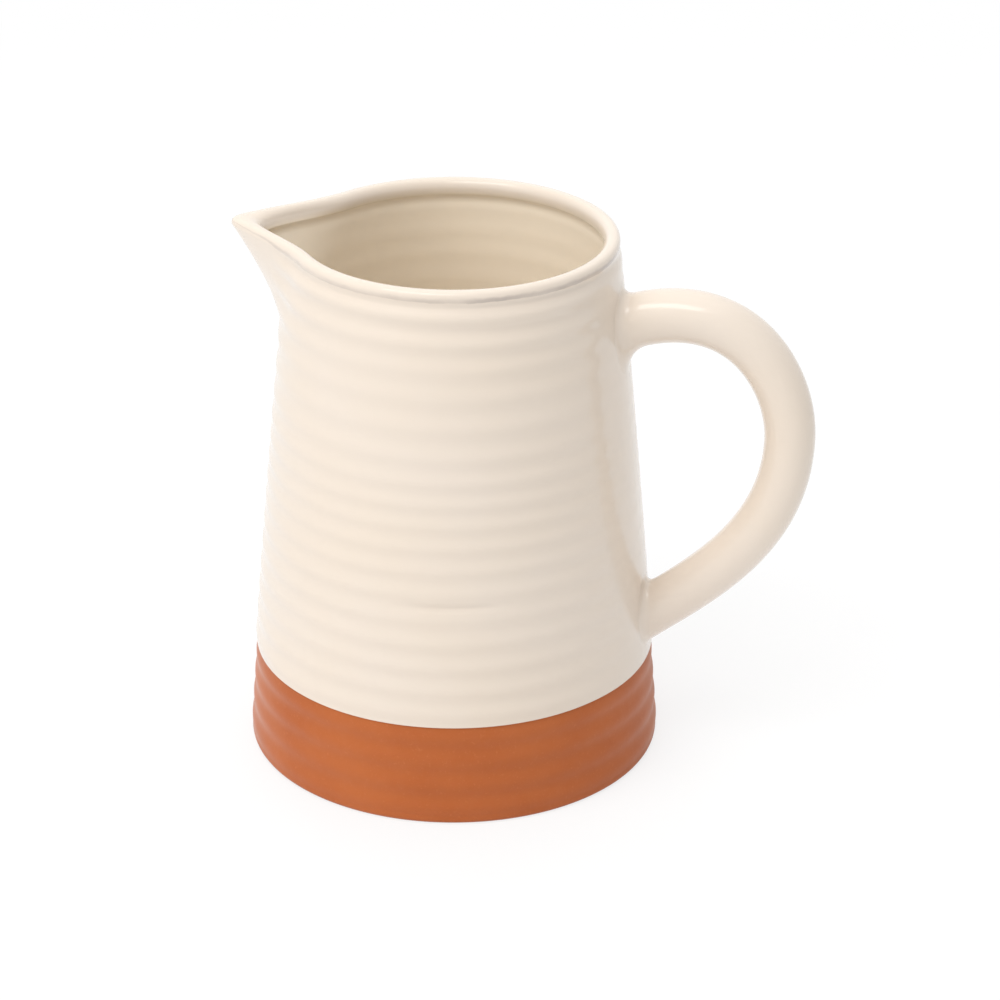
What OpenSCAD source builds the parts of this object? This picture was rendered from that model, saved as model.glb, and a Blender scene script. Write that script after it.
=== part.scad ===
// Stoneware jug: a thrown red clay body, dipped in cream glaze down to a bare band at the foot,
// with a spout drawn out of the rim and a round loop handle luted to the wall.
// The origin is on the jug's axis, in the plane that the jug stands on.
// The handle points along +X and the spout along -X.

/* [Body] */
// Height of the jug, to the top of its glazed rim
jug_h = 170; // [150:1:200]
// Radius of the foot
foot_r = 65.8; // [58:0.1:76]
// Radius of the rim, to the middle of its bead
rim_r = 48.2; // [44:0.05:56]
// Swell of the wall at half height, out from a straight taper
wall_swell = 0.6; // [0:0.1:3]
// Thickness of the clay wall under the rim
wall_top_t = 3.2; // [2.6:0.1:5]
// Thickness of the clay wall at the floor
wall_foot_t = 5; // [4:0.1:8]
// Thickness of the clay floor
floor_t = 6.5; // [4:0.5:12]
// Radius of the inside corner between the floor and the wall
cove_r = 9; // [4:0.5:14]

/* [Rim] */
// Thickness of the clay in the bead along the rim
bead_d = 4; // [3:0.1:5]
// Drop from the crest of the rim to the middle of the bead's inner face, which is taller than its outer one
bead_drop = 2.65; // [2:0.05:3.2]
// Drop from the middle of the bead to the finger groove under it
groove_drop = 2.2; // [1.8:0.1:4]
// Depth of the finger groove
groove_depth = 0.4; // [0:0.05:1]
// Half height of the finger groove
groove_w = 1.6; // [1:0.1:3]
// Depth of the undercut inside, below the bead
under_depth = 0.5; // [0:0.05:0.8]
// Half height of that undercut
under_w = 1.3; // [0.8:0.1:2]

/* [Foot] */
// Rounding of the foot's outer edge
foot_edge_r = 1.6; // [0.5:0.1:3]
// Width of the ring that the jug stands on
foot_ring_w = 12; // [6:0.5:20]
// Depth of the hollow inside that ring
foot_hollow = 1.5; // [0.5:0.1:3]
// Height of the bare clay band, from the table to the edge of the glaze
bare_h = 32.5; // [20:0.5:33]

/* [Throwing rings] */
// Height from one throwing ring to the next
ring_pitch = 7.83; // [5:0.01:12]
// Depth of the rings, from crest to valley
ring_depth = 0.35; // [0.1:0.05:0.6]
// Drop from the middle of the bead to the underside of the first ring
ring_drop = 7.5; // [5:0.05:12]
// Height of the stretch where the rings bunch, where the hand slowed
bunch_z = 115; // [80:1:140]
// Half height of that stretch
bunch_w = 19; // [10:1:30]
// Rings that the bunch lags behind an even rise, as a share of one ring
bunch_share = 0.47; // [0:0.01:0.6]

/* [Spout] */
// How far the spout's lip stands out past the rim's circle
spout_reach = 17.3; // [12:0.1:24]
// Depth of the spout, from the middle of the bead to where it leaves the wall
spout_drop = 32; // [26:0.5:40]
// Width of the spout at the rim, along the rim's round
spout_w = 59.6; // [48:0.2:70]
// Width of the spout at its foot, along the same round
spout_low_w = 31.6; // [20:0.2:46]
// Rounding of the tip
spout_tip_r = 2.2; // [1:0.1:5]
// Power by which the draw falls away from the spout's middle to its sides
spout_pinch = 2.15; // [1.6:0.05:3]
// Share of the spout's depth over which it swings out of the wall
spout_blend_share = 0.2; // [0.1:0.05:0.4]
// Share by which the lip is thicker at the tip
spout_thick_share = 0.95; // [0.2:0.05:1.2]
// Power by which that thickening gathers at the tip
spout_thick_power = 3; // [1:0.5:4]

/* [Handle] */
// Height where the middle of the handle leaves the wall at the top
handle_top_z = 144.3; // [140:0.1:150]
// Height where the middle of the handle meets the wall at the bottom
handle_low_z = 46; // [44:0.5:60]
// Distance from the jug's axis to the middle of the handle at its widest
handle_out = 105.1; // [95:0.1:120]
// Height of that widest point
handle_out_z = 110.9; // [100:0.1:118]
// Rise of the handle where it leaves the wall at the top, in degrees
handle_top_angle = 22; // [0:1:30]
// Rise of the handle from the wall at the bottom, in degrees
handle_low_angle = 38; // [25:1:45]
// Pull of the top arm away from the wall
handle_top_pull = 40.2; // [30:0.1:45]
// Pull of the bend above the widest point
handle_over_pull = 18; // [14:0.5:28]
// Pull of the bend below the widest point
handle_under_pull = 33.5; // [25:0.5:40]
// Pull of the lower arm away from the wall
handle_low_pull = 22.5; // [16:0.5:30]
// Thickness of the clay rod at the top
handle_top_d = 15.75; // [13:0.05:18]
// Thickness of the clay rod at its widest point
handle_mid_d = 14.6; // [12:0.1:17]
// Thickness of the clay rod at the bottom
handle_low_d = 15; // [12:0.1:17]

/* [Luting] */
// Fillet over the top arm
top_fillet_over = 4; // [1:0.1:5]
// Fillet under the top arm
top_fillet_under = 9; // [4:0.5:12]
// Fillet beside the top arm
top_fillet_side = 4; // [2:0.1:6]
// Fillet on the upper side of the lower arm
low_fillet_over = 4; // [1:0.1:5]
// Fillet on the underside of the lower arm
low_fillet_under = 1.5; // [0.8:0.1:1.8]
// Fillet beside the lower arm
low_fillet_side = 3.5; // [2:0.1:5]

/* [Glaze] */
// Thickness of the glaze
glaze_t = 0.5; // [0.4:0.05:0.8]

/* [Smoothness] */
// Steps along one throwing ring
ring_steps = 6; // [4:1:8]
// Steps of arc across the spout
spout_steps = 24; // [16:2:32]
// Sides of the handle's rod
rod_sides = 24; // [16:4:32]
// Steps along the handle
rod_steps = 30; // [20:1:40]
// Steps along a fillet or a rounded edge
arc_steps = 5; // [4:1:8]
// Straight pieces in the plain wall
wall_steps = 10; // [6:1:16]
// Facets of a full turn, where the jug is drawn as a mesh
turn_facets = 144; // [72:12:180]

/* [Hidden] */

CLAY = "#c4713f";
CLAY_HANDLE = "#b9673a";
CLAY_SPOUT = "#bd6b3c";
SLIP = "#a95f38";
GLAZE = "#efe4d0";
LINING = "#d9ccb0";

// Overrun of cuts past the solids that they cut
overrun = 2;
// Height of the middle of the bead, and the wall's outside there
bead_z = jug_h - glaze_t - bead_d / 2;
lip_r = rim_r + bead_d / 2;
groove_z = bead_z - groove_drop;
// Crest of the rim's clay, and the undercut at the foot of the bead's inner face
crest_z = bead_z + bead_d / 2;
under_z = crest_z - 2 * bead_drop;
// The bead's round starts and ends this far below level, in degrees
bead_dip = 35;
// Height where the spout leaves the wall
spout_z = bead_z - spout_drop;
// Plain wall at each side of the spout that is part of its solid
spout_side = 1.75;
// Length of one degree along the rim's round, and the angle from the spout's middle to its cut
degree_w = PI * lip_r / 180;
spout_cut = (spout_w / 2 + spout_side) / degree_w;
// The wall is smooth where the clay is drawn out by this share of the spout's reach
smooth_share = 0.25;
// Shares of the rod's radius at which its seat on the wall is drawn
seat_shares = [1 / 3, 2 / 3];
// How far along the handle's curve its seats on the wall are looked for, in parts of an arc
seat_reach = 0.4;
seat_tries = 24;

// Profile of the wall

function steps(from, to, count) = [for (i = [0:count]) from + (to - from) * i / count];
function backwards(list) = [for (i = [len(list) - 1:-1:0]) list[i]];
function rest(list) = [for (i = [1:len(list) - 1]) list[i]];

function groove(z) = groove_depth * exp(-pow((z - groove_z) / groove_w, 2));
function taper(z) = let (t = z / bead_z) foot_r + (lip_r - foot_r) * t + 4 * wall_swell * t * (1 - t);
function clay_r(z) = taper(z) - groove(z);
function wall_t(z) = wall_foot_t + (wall_top_t - wall_foot_t) * z / bead_z;
function under(z) = under_depth * exp(-pow((z - under_z) / under_w, 2));
function bore_r(z) = taper(z) - wall_t(z) + under(z);

// Rings counted down from the first, which bunch where the hand slowed
function ring_count(z) =
    (bead_z - ring_drop - z) / ring_pitch - bunch_share * exp(-pow((z - bunch_z) / bunch_w, 2));
function ring_wave(z) = -ring_depth / 2 * sin(360 * ring_count(z));

// Outside of the wall at a height: the clay, or the glaze over it. The rings show on the glaze and
// on the bare band, and the clay between them is plain.
function wall_r(z, coat) = clay_r(z) + (coat > 0 || z < bare_h ? coat + ring_wave(z) : 0);

// Heights up the outside, from low to the groove; the glaze follows the rings
function wall_heights(low, coat) =
    let (top = groove_z, step = ring_pitch / ring_steps, count = floor((top - low) / step))
    coat > 0 ? [low, for (i = [count - 1:-1:0]) top - i * step]
             : concat(steps(low, top - groove_drop, wall_steps), steps(top - groove_w, top, 2));

function bead_outside(coat) = [for (a = steps(-bead_dip, 90, arc_steps))
    [rim_r, bead_z] + (bead_d / 2 + coat) * [cos(a), sin(a)]];
function bead_inside(coat) = [for (a = steps(90, 180 + bead_dip, arc_steps))
    [rim_r + (bead_d / 2 + coat) * cos(a), crest_z - bead_drop + (bead_drop + coat) * sin(a)]];

// From a height on the outside up to the crest of the rim
function outer_line(low, coat) = concat(
    [for (z = wall_heights(low, coat)) [wall_r(z, coat), z]],
    bead_outside(coat));

// From the crest of the rim down the inside, through the undercut, to a height
function inner_line(low, coat) =
    let (under_low = under_z - 2 * under_w,
         heights = concat(steps(under_z, under_low, arc_steps), rest(steps(under_low, low, wall_steps))))
    concat(bead_inside(coat), [for (z = heights) [bore_r(z) - coat, z]]);

// The inside corner and the floor, out to the axis
function floor_line(coat) =
    let (r = cove_r - coat, top = floor_t + cove_r, mid = bore_r(top) - cove_r)
    concat([for (a = steps(0, -90, arc_steps)) [mid + r * cos(a), top + r * sin(a)]],
           [[0, floor_t + coat]]);

// The underside with its standing ring, and the bare band up to the edge of the glaze
function foot_line() =
    let (inside = foot_r - foot_ring_w, edge = foot_r - foot_edge_r,
         count = ceil((bare_h - foot_edge_r) / ring_pitch * ring_steps))
    concat([[0, foot_hollow], [inside - foot_hollow, foot_hollow], [inside, 0]],
           [for (a = steps(-90, 0, arc_steps))
               [edge + foot_edge_r * cos(a), foot_edge_r + foot_edge_r * sin(a)]],
           [for (z = steps(foot_edge_r, bare_h, count)) if (z > foot_edge_r)
               [clay_r(z) + ring_wave(z), z]]);

// Spout: the wall drawn out along -X, most at the rim and not at all at the spout's foot

function spout_rise(z) =
    let (h = min(max((z - spout_z) / spout_drop, 0), 1), b = spout_blend_share)
    (h < b ? h * h / (2 * b) : h - b / 2) / (1 - b / 2);
function spout_fall(a, z) =
    let (h = min(max((z - spout_z) / spout_drop, 0), 1),
         half = (spout_low_w + (spout_w - spout_low_w) * h) / 2,
         off = norm([a * degree_w, spout_tip_r]) - spout_tip_r)
    off < half ? pow(1 - off / half, spout_pinch) : 0;

// A point of the wall's profile, drawn out at an angle from the spout's middle.
// The rings, the groove and the underside of the bead smooth out where the clay was pulled.
function drawn(p, a, coat) =
    let (draw = spout_rise(p[1]) * spout_fall(a, p[1]),
         mid = taper(p[1]) - wall_t(p[1]) / 2,
         smooth = p[0] > mid && p[1] < bead_z ? min(1, draw / smooth_share) : 0,
         off = p[0] + (taper(p[1]) + coat - p[0]) * smooth - mid,
         r = mid + spout_reach * draw + off * (1 + spout_thick_share * pow(draw, spout_thick_power)))
    [-r * cos(a), -r * sin(a), p[1]];

function spout_section(coat) = concat(outer_line(spout_z, coat), rest(inner_line(spout_z, coat)));

// Two triangles between four neighbours, split along the shorter diagonal, so that the two faces
// of a joint are split alike
function split(p, a, b, c, d) =
    norm(p[a] - p[d]) < norm(p[b] - p[c]) ? [[a, b, d], [a, d, c]] : [[a, b, c], [b, d, c]];
// Sides between one closed loop of points and the next
function sides_between(p, from, to, count) = [for (j = [0:count - 1])
    let (k = (j + 1) % count) each split(p, from + j, from + k, to + j, to + k)];
function sides(p, rows, count) =
    [for (i = [0:rows - 2]) each sides_between(p, i * count, (i + 1) * count, count)];

// Triangles that fill a long thin loop, from the start of its two sides, a and b, to their ends
function filled(p, a, b, a_end, b_end) =
    a == a_end && b == b_end ? []
    : a < a_end && (b == b_end || norm(p[a + 1] - p[b]) < norm(p[a] - p[b - 1]))
        ? concat([[a, a + 1, b]], filled(p, a + 1, b, a_end, b_end))
        : concat([[a, b - 1, b]], filled(p, a, b - 1, a_end, b_end));

// Solid through a row of closed loops, with its ends closed. A long thin loop gives the point of its
// first side where it turns back, and a round one gives none.
module lofted(loops, turn = undef) {
    count = len(loops[0]);
    last = (len(loops) - 1) * count;
    points = [for (loop = loops) each loop];
    end = is_undef(turn) ? [[for (j = [0:count - 1]) j]]
                         : filled(loops[0], 0, count - 1, turn, turn + 1);
    polyhedron(points, concat(
        [for (face = end) backwards(face)],
        sides(points, len(loops), count),
        [for (face = end) [for (j = face) last + j]]));
}

// Solid through a ring of closed loops, where the last joins the first
module looped(loops) {
    count = len(loops[0]);
    last = (len(loops) - 1) * count;
    points = [for (loop = loops) each loop];
    polyhedron(points, concat(
        sides(points, len(loops), count),
        sides_between(points, last, 0, count)));
}

// The wedge of the body that the spout takes the place of
module spout_wedge() {
    far = foot_r + spout_reach;
    side = far * tan(spout_cut);
    translate([0, 0, spout_z])
        linear_extrude(spout_drop + bead_d + overrun)
            polygon([[0, 0], [-far, -side], [-far, side]]);
}

module turned(points) {
    rotate_extrude($fn = turn_facets) polygon(points);
}

// Handle: a round rod along two arcs from wall to wall, in the XZ plane.
// Along it u runs from 0 at the top to 2 at the bottom, with 1 at the widest point.

function arc_points() =
    let (top = [clay_r(handle_top_z), handle_top_z], out = [handle_out, handle_out_z],
         low = [clay_r(handle_low_z), handle_low_z])
    [[top, top + handle_top_pull * [cos(handle_top_angle), sin(handle_top_angle)],
      out + [0, handle_over_pull], out],
     [out, out - [0, handle_under_pull],
      low + handle_low_pull * [cos(handle_low_angle), sin(handle_low_angle)], low]];
arcs = arc_points();

function on_arc(p, t) = pow(1 - t, 3) * p[0] + 3 * pow(1 - t, 2) * t * p[1]
                        + 3 * (1 - t) * t * t * p[2] + pow(t, 3) * p[3];
function along_arc(p, t) = pow(1 - t, 2) * (p[1] - p[0]) + 2 * (1 - t) * t * (p[2] - p[1])
                           + t * t * (p[3] - p[2]);
function rod_mid(u) = u < 1 ? on_arc(arcs[0], u) : on_arc(arcs[1], u - 1);
function rod_way(u) = let (d = u < 1 ? along_arc(arcs[0], u) : along_arc(arcs[1], u - 1)) d / norm(d);
function rod_r(u) = let (t = min(max(u, 0), 2))
    (t < 1 ? handle_top_d + (handle_mid_d - handle_top_d) * t
           : handle_mid_d + (handle_low_d - handle_mid_d) * (t - 1)) / 2;

// Point on the rod at u, at an angle from its outer side, on a rod that much fatter
function on_rod(u, a, extra) =
    let (m = rod_mid(u), w = rod_way(u), r = rod_r(u) + extra, out = r * cos(a))
    [m[0] - out * w[1], r * sin(a), m[1] + out * w[0]];
function off_wall(p, coat) = norm([p[0], p[1]]) - wall_r(p[2], coat);

// Where a line along the rod meets the wall: end 0 is the top, end 1 the bottom
function seat_u(end, a, extra, coat, near = undef, far = undef, tries = seat_tries) =
    let (n = is_undef(near) ? (end == 0 ? -seat_reach : 2 + seat_reach) : near,
         f = is_undef(far) ? (end == 0 ? seat_reach : 2 - seat_reach) : far, m = (n + f) / 2)
    tries == 0 ? m
    : off_wall(on_rod(m, a, extra), coat) > 0 ? seat_u(end, a, extra, coat, n, m, tries - 1)
                                              : seat_u(end, a, extra, coat, m, f, tries - 1);

fillets = [[top_fillet_over, top_fillet_side, top_fillet_under],
           [low_fillet_under, low_fillet_side, low_fillet_over]];
function fillet(end, a) =
    fillets[end][1] * pow(sin(a), 2) + fillets[end][cos(a) > 0 ? 0 : 2] * pow(cos(a), 2);

turns = [for (j = [0:rod_sides - 1]) 360 * j / rod_sides];
arc_speed = [3 * handle_top_pull, -3 * handle_low_pull];

// Loop of points on the wall round the rod, out by a share of the fillet
function seat_loop(end, coat, share) = [for (a = turns)
    let (extra = coat + share * fillet(end, a)) on_rod(seat_u(end, a, extra, coat), a, extra)];
// Where the fillet leaves the rod
function clear_u(end, a, coat) = seat_u(end, a, coat, coat) + fillet(end, a) / arc_speed[end];
function clear_loop(end, coat) = [for (a = turns) on_rod(clear_u(end, a, coat), a, coat)];
// Concave face of the fillet, from the wall to the rod
function fillet_loops(end, coat) =
    let (w = seat_loop(end, coat, 1), c = seat_loop(end, coat, 0), r = clear_loop(end, coat))
    [for (t = steps(0, 1, arc_steps)) [for (j = [0:rod_sides - 1])
        pow(1 - t, 2) * w[j] + 2 * (1 - t) * t * c[j] + t * t * r[j]]];
// The rod between its two fillets
function rod_loops(coat) = [for (i = [1:rod_steps - 1]) [for (a = turns)
    let (from = clear_u(0, a, coat), to = clear_u(1, a, coat))
    on_rod(from + (to - from) * i / rod_steps, a, coat)]];

// The rod's own seat on the wall, drawn as rings about its middle
function seat_rings(end) = [for (s = seat_shares) [for (a = turns)
    let (extra = (s - 1) * rod_r(2 * end)) on_rod(seat_u(end, a, extra, 0), a, extra)]];

// Ring of clay worked into the corner round one end of the handle
module luting(end) {
    loops = concat(fillet_loops(end, 0), [for (share = steps(0, 1, arc_steps)) if (share < 1)
        seat_loop(end, 0, share)]);
    looped(end == 0 ? loops : backwards(loops));
}

// Cuts the hole in the wall's glaze that one end of the handle comes through
module root_plug(end) {
    clay = seat_loop(end, 0, 1);
    coat = seat_loop(end, glaze_t, 1);
    reach = overrun / glaze_t;
    lofted(end == 0 ? [clay - (coat - clay) * reach, coat + (coat - clay) * reach]
                    : [coat + (coat - clay) * reach, clay - (coat - clay) * reach]);
}

module clay_body() {
    color(CLAY) difference() {
        turned(concat(foot_line(), outer_line(bare_h, 0),
                      rest(inner_line(floor_t + cove_r, 0)), rest(floor_line(0))));
        spout_wedge();
    }
}

module spout() {
    section = spout_section(0);
    crest = len(outer_line(spout_z, 0)) - 1;
    color(CLAY_SPOUT) lofted([for (a = steps(-spout_cut, spout_cut, spout_steps))
        [for (p = section) drawn(p, a, 0)]], crest);
}

module handle() {
    color(CLAY_HANDLE) lofted(concat(
        seat_rings(0), [seat_loop(0, 0, 0), clear_loop(0, 0)], rod_loops(0),
        [clear_loop(1, 0), seat_loop(1, 0, 0)], backwards(seat_rings(1))));
}

module upper_luting() {
    color(SLIP) luting(0);
}

module lower_luting() {
    color(SLIP) luting(1);
}

module outer_glaze() {
    color(GLAZE) difference() {
        turned(concat(outer_line(bare_h, glaze_t), backwards(outer_line(bare_h, 0))));
        spout_wedge();
        root_plug(0);
        root_plug(1);
    }
}

module lining_glaze() {
    low = floor_t + cove_r;
    color(LINING) difference() {
        turned(concat(inner_line(low, glaze_t), floor_line(glaze_t),
                      backwards(floor_line(0)), backwards(inner_line(low, 0))));
        spout_wedge();
    }
}

module spout_glaze() {
    section = concat(spout_section(glaze_t), backwards(spout_section(0)));
    skin = len(spout_section(glaze_t));
    color(GLAZE) lofted([for (a = steps(-spout_cut, spout_cut, spout_steps))
        [for (i = [0:len(section) - 1]) drawn(section[i], a, i < skin ? glaze_t : 0)]], skin - 1);
}

module handle_glaze() {
    outside = concat(fillet_loops(0, glaze_t), rod_loops(glaze_t), backwards(fillet_loops(1, glaze_t)));
    inside = concat(fillet_loops(0, 0), rod_loops(0), backwards(fillet_loops(1, 0)));
    color(GLAZE) looped(concat(outside, backwards(inside)));
}

clay_body();
spout();
handle();
upper_luting();
lower_luting();
outer_glaze();
lining_glaze();
spout_glaze();
handle_glaze();
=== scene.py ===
"""Stoneware jug: the glaze, the glazed handle and the bare clay, built round the packed solids."""

import math

import bmesh
import bpy
from bpy.props import FloatProperty, FloatVectorProperty, PointerProperty
from bpy.types import Operator, Panel, PropertyGroup
from mathutils import Matrix, Vector, noise


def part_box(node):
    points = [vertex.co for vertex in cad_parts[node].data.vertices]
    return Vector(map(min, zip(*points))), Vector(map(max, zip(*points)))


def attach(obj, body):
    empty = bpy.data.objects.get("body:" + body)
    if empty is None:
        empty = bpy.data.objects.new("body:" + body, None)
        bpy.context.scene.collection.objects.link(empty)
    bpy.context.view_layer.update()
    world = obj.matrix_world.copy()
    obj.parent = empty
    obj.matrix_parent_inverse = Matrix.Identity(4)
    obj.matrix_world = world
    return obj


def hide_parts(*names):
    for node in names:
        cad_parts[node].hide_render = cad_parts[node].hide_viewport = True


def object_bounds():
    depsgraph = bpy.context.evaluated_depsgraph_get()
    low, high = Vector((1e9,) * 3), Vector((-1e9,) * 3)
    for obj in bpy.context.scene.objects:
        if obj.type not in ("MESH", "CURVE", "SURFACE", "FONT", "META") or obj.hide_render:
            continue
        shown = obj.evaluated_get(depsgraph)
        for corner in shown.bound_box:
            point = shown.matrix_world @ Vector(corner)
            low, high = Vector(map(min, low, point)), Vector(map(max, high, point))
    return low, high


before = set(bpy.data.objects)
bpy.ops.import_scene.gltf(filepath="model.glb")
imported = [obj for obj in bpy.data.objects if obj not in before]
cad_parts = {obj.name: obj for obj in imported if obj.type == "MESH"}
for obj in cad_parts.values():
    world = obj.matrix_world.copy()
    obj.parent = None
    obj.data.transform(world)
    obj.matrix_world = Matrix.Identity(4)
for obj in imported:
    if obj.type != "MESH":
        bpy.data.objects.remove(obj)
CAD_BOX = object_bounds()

bl_info = {
    "name": "Stoneware Jug",
    "version": (1, 0, 0),
    "blender": (4, 5, 0),
    "location": "3D View > Sidebar > Jug",
    "description": "Builds a glazed stoneware jug with a drawn spout and a loop handle",
    "category": "Add Mesh",
}

MM = 0.001
BODY = "root"

# Sizes that the frame gives
JUG_H = CAD_BOX[1].z
GLAZE_T = JUG_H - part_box("clay_body")[1].z
BARE_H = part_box("outer_glaze")[0].z
FLOOR_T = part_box("lining_glaze")[0].z

# How fine the meshes are
TURN_STEPS = 240
RING_STEPS = 10
HIDDEN_RING_STEPS = 4
WALL_STEPS = 64
HIDDEN_WALL_STEPS = 14
BEAD_STEPS = 18
HIDDEN_BEAD_STEPS = 7
COVE_STEPS = 9
EDGE_STEPS = 6
ROD_SIDES = 56
ROD_STEPS = 130
FILLET_STEPS = 12
SEAT_TRIES = 30
MERGE = 0.001 * MM

# Columns of the turned meshes are drawn together towards the spout by this share
GATHER_SHARE = 0.65
# Part of an arc of the handle in which its seats on the wall are looked for
SEAT_REACH = 0.4
# The wall is smooth where the clay is drawn out by this share of the spout's reach
SMOOTH_SHARE = 0.25
# The bead's round ends this far below level on the outside and the inside
OUTER_DIP = math.radians(18)
INNER_DIP = math.radians(35)
# Power that makes the bead's outer half squarer than a round, which would be 1
CREST_POWER = 0.76
# The skirts of the handle's coat dip this far under the wall's glaze
SKIRT_SINK = 0.12 * MM
# The rings inside stray this many times as far as those outside
INNER_STRAY = 2
# The side of the foot's hollow is this many times as wide as it is deep
HOLLOW_RUN = 2

# The glaze: sizes of its clouds, its changes of gloss and its ripples, the depth of the ripples, its
# roughness where it is glossiest and dullest, and the weight and roughness of its clear coat
GLAZE_CLOUD = 45 * MM
GLAZE_GLOSS = 9 * MM
GLAZE_RIPPLE = 8 * MM
GLAZE_RIPPLE_DEPTH = 0.02 * MM
GLAZE_ROUGH = (0.19, 0.25)
COAT_WEIGHT = 0.5
COAT_ROUGH = 0.06
# The rim's thin line: sizes of the waves along its edges and of its faint places
LINE_WAVE = 4 * MM
LINE_FAINT = 14 * MM
# The clay: sizes of its clouds, its changes of gloss, its ripples and its grains, the depths of the
# last two, its roughness where it is glossiest and dullest, its gloss and its sheen
CLAY_CLOUD = 28 * MM
CLAY_GLOSS = 3 * MM
CLAY_RIPPLE = 5 * MM
CLAY_GRAIN = 0.9 * MM
CLAY_RIPPLE_DEPTH = 0.03 * MM
CLAY_GRAIN_DEPTH = 0.01 * MM
CLAY_ROUGH = (0.72, 0.86)
CLAY_SPECULAR = 0.3
SHEEN_WEIGHT = 0.38
SHEEN_ROUGH = 0.4
# Height of the painted shadow on the clay under the glaze's edge, and how dark it is
EDGE_SHADOW_H = 0.7 * MM
EDGE_SHADOW_SHARE = 0.6
# Parts of the noise's range that clouds, gloss, faint places and grains are taken from
CLOUD_RANGE = (0.35, 0.7)
GLOSS_RANGE = (0.3, 0.7)
FAINT_RANGE = (0.4, 0.6)
GRAIN_RANGE = (0.6, 0.78)

# Half width of the floor, and its roughness
FLOOR_HALF = 4
FLOOR_ROUGH = 0.9
# Width and height of the soft lights and of the window, and how far they stand from the jug
LAMP_SIZE = (2.4, 2.4)
WINDOW_SIZE = (2, 0.9)
LAMP_AWAY = 3
# Where they stand: degrees round the jug from its front, and degrees above level
KEY_PLACE = (-38, 36)
TOP_PLACE = (0, 85)
BACK_PLACE = (190, 50)
WINDOW_PLACE = (-23, 61)
# The photograph's view: degrees by which the camera stands round the jug, pans, pitches and rolls,
# its distance from the jug's axis and its height, and its lens and sensor in millimetres
VIEW_TURN = 12
VIEW_PAN = 0.909
VIEW_PITCH = 25.496
VIEW_ROLL = 0.312
VIEW_AWAY = 913.34 * MM
VIEW_HIGH = 515.13 * MM
LENS = 115.24
SENSOR = 36

# Names of the vertex attributes that say how far across the rim's thin line a point of the glaze lies,
# and where the glaze lines the inside, which is painted lighter there as painted light
RIM_LINE = "rim_line"
LIT_LINING = "lit_glaze_lining"
# Values of the first one away from the line, at its two edges and past it
AWAY, LOWER_EDGE, UPPER_EDGE, PAST = 0, 1, 2, 3


def length(label, about, size):
    """Property for a length in metres."""
    return FloatProperty(name=label, description=about, default=size, unit="LENGTH", subtype="DISTANCE")


def angle(label, about, degrees):
    """Property for an angle."""
    return FloatProperty(
        name=label, description=about, default=math.radians(degrees), unit="ROTATION", subtype="ANGLE"
    )


def share(label, about, value):
    """Property for a share or a plain ratio."""
    return FloatProperty(name=label, description=about, default=value, subtype="FACTOR", soft_max=1)


def power(label, about, watts):
    """Property for the power of a lamp."""
    return FloatProperty(name=label, description=about, default=watts, unit="POWER")


def number(label, about, value):
    """Property for a plain number."""
    return FloatProperty(name=label, description=about, default=value)


def colour(label, about, *tones):
    """Property for a colour, written as the tones of a screen from 0 to 255 and kept as linear light."""
    linear = [((t / 255 + 0.055) / 1.055) ** 2.4 if t > 10 else t / 255 / 12.92 for t in tones]
    return FloatVectorProperty(
        name=label, description=about, default=linear, size=3, min=0, max=1, subtype="COLOR"
    )


class JugWall(PropertyGroup):
    """Sizes of the thrown body."""

    jug_h: length("Height", "Height to the top of the glazed rim", JUG_H)
    glaze_t: length("Glaze", "Thickness of the glaze", GLAZE_T)
    bare_h: length("Bare band", "Height of the bare clay band at the foot", BARE_H)
    floor_t: length("Floor", "Thickness of the clay floor", FLOOR_T)
    foot_r: length("Foot radius", "Radius of the foot", 65.8 * MM)
    rim_r: length("Rim radius", "Radius of the rim, to the middle of its bead", 48.2 * MM)
    swell: length("Swell", "Swell of the wall at half height", 0.6 * MM)
    top_t: length("Wall at rim", "Thickness of the clay wall under the rim", 3.2 * MM)
    foot_t: length("Wall at foot", "Thickness of the clay wall at the floor", 5 * MM)
    cove_r: length("Cove", "Radius of the corner between the floor and the wall", 9 * MM)
    bead_d: length("Bead", "Thickness of the clay in the bead along the rim", 4 * MM)
    bead_drop: length("Bead drop", "Drop from the crest to the middle of the bead's inner face", 2.65 * MM)
    groove_drop: length("Groove drop", "Drop from the bead to the groove under it", 2.2 * MM)
    groove_depth: length("Groove depth", "Depth of the groove under the bead", 0.4 * MM)
    groove_w: length("Groove width", "Half height of the groove", 1.6 * MM)
    under_depth: length("Undercut depth", "Depth of the undercut inside, below the bead", 0.5 * MM)
    under_w: length("Undercut width", "Half height of the undercut", 1.3 * MM)
    foot_edge_r: length("Foot edge", "Rounding of the foot's outer edge", 1.6 * MM)
    foot_ring_w: length("Foot ring", "Width of the ring that the jug stands on", 12 * MM)
    foot_hollow: length("Foot hollow", "Depth of the hollow inside that ring", 1.5 * MM)


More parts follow.
